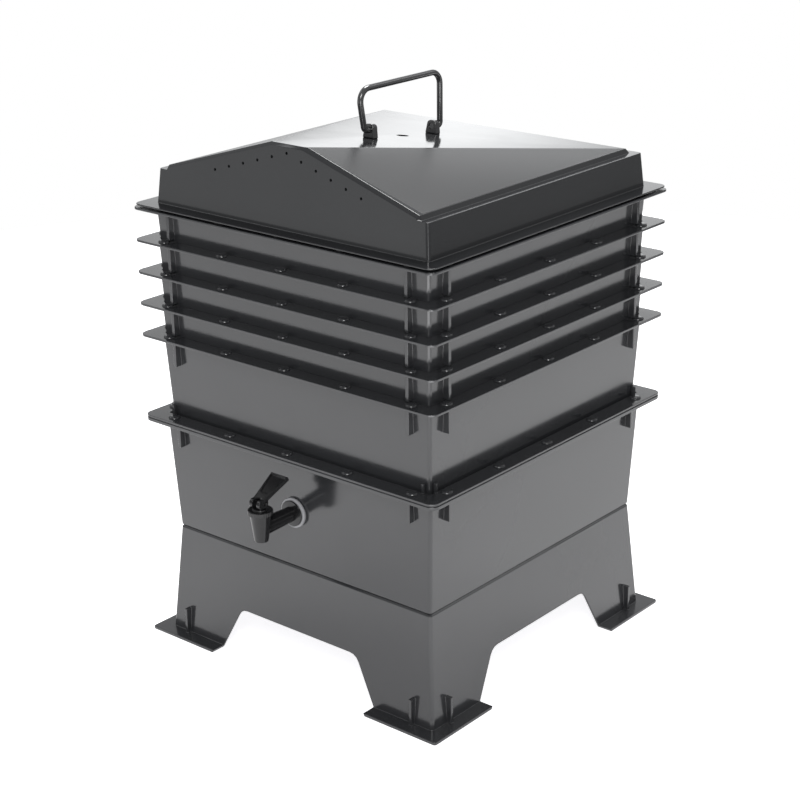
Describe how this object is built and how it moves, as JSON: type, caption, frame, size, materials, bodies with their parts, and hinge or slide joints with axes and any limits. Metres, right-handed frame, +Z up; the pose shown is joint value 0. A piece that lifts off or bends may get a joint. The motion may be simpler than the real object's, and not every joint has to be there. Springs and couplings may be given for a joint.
{
  "type": "worm composter",
  "caption": "Stacked-tray worm composter: footed stand, drip sump with lever tap, nesting perforated trays and a hipped lid with a wire bail.",
  "frame": {"origin": "on the floor, in the middle of the footprint, which the tap makes longer at the front", "axes": "+Z up, the tap and the gable face -Y, +X to the right seen from the tap"},
  "size_m": [0.4264, 0.4688, 0.6438],
  "materials": {
    "tub_plastic": "dark charcoal moulded plastic with a soft gloss",
    "lid_plastic": "dark charcoal moulded plastic, glossier than the tubs",
    "bail_steel": "bent steel wire with a dark gloss coating",
    "ear_plastic": "black moulded plastic",
    "screw_steel": "bright plated steel",
    "tap_plastic": "black gloss plastic",
    "clear_washer": "pale translucent rubber",
    "seat_rubber": "soft pale silicone rubber"
  },
  "bodies": {
    "stand": {"stand": "tub_plastic"},
    "sump": {"sump": "tub_plastic", "tap_body": "tap_plastic", "tap_outer_washer": "clear_washer", "tap_inner_washer": "clear_washer", "tap_back_nut": "tap_plastic", "tap_bonnet": "tap_plastic"},
    "tap_stem": {"tap_stem": "tap_plastic", "tap_seat": "seat_rubber", "tap_lever_pin": "screw_steel"},
    "tap_lever": {"tap_lever": "tap_plastic"},
    "tray_1": {"tray_1": "tub_plastic"},
    "tray_2": {"tray_2": "tub_plastic"},
    "tray_3": {"tray_3": "tub_plastic"},
    "tray_4": {"tray_4": "tub_plastic"},
    "tray_5": {"tray_5": "tub_plastic"},
    "lid": {"lid": "lid_plastic", "bail_ear_front": "ear_plastic", "bail_ear_back": "ear_plastic", "ear_screw_1": "screw_steel", "ear_screw_2": "screw_steel", "ear_screw_3": "screw_steel", "ear_screw_4": "screw_steel"},
    "lid_bail": {"lid_bail": "bail_steel"}
  },
  "joints": [
    {"name": "sump_lift", "type": "slide", "parent": "stand", "child": "sump", "axis": [0, 0, 1], "range_m": [0, 0.08]},
    {"name": "tray_1_lift", "type": "slide", "parent": "sump", "child": "tray_1", "axis": [0, 0, 1], "range_m": [0, 0.12]},
    {"name": "tray_2_lift", "type": "slide", "parent": "tray_1", "child": "tray_2", "axis": [0, 0, 1], "range_m": [0, 0.12]},
    {"name": "tray_3_lift", "type": "slide", "parent": "tray_2", "child": "tray_3", "axis": [0, 0, 1], "range_m": [0, 0.12]},
    {"name": "tray_4_lift", "type": "slide", "parent": "tray_3", "child": "tray_4", "axis": [0, 0, 1], "range_m": [0, 0.12]},
    {"name": "tray_5_lift", "type": "slide", "parent": "tray_4", "child": "tray_5", "axis": [0, 0, 1], "range_m": [0, 0.12]},
    {"name": "lid_lift", "type": "slide", "parent": "tray_5", "child": "lid", "axis": [0, 0, 1], "range_m": [0, 0.12]},
    {"name": "bail_swing", "type": "hinge", "parent": "lid", "child": "lid_bail", "pos_m": [0, 0.02221, 0.58847], "axis": [0, 0.9913, -0.1318], "range_deg": [-85, 85]},
    {"name": "stem_lift", "type": "slide", "parent": "sump", "child": "tap_stem", "axis": [0, 0, 1], "range_m": [0, 0.0045]},
    {"name": "lever_swing", "type": "hinge", "parent": "tap_stem", "child": "tap_lever", "pos_m": [0, -0.22071, 0.2291], "axis": [1, 0, 0], "range_deg": [0, 60]}
  ],
  "couplings": [
    {"joint": "stem_lift", "follows": "lever_swing", "m_per_rad": 0.004}
  ]
}
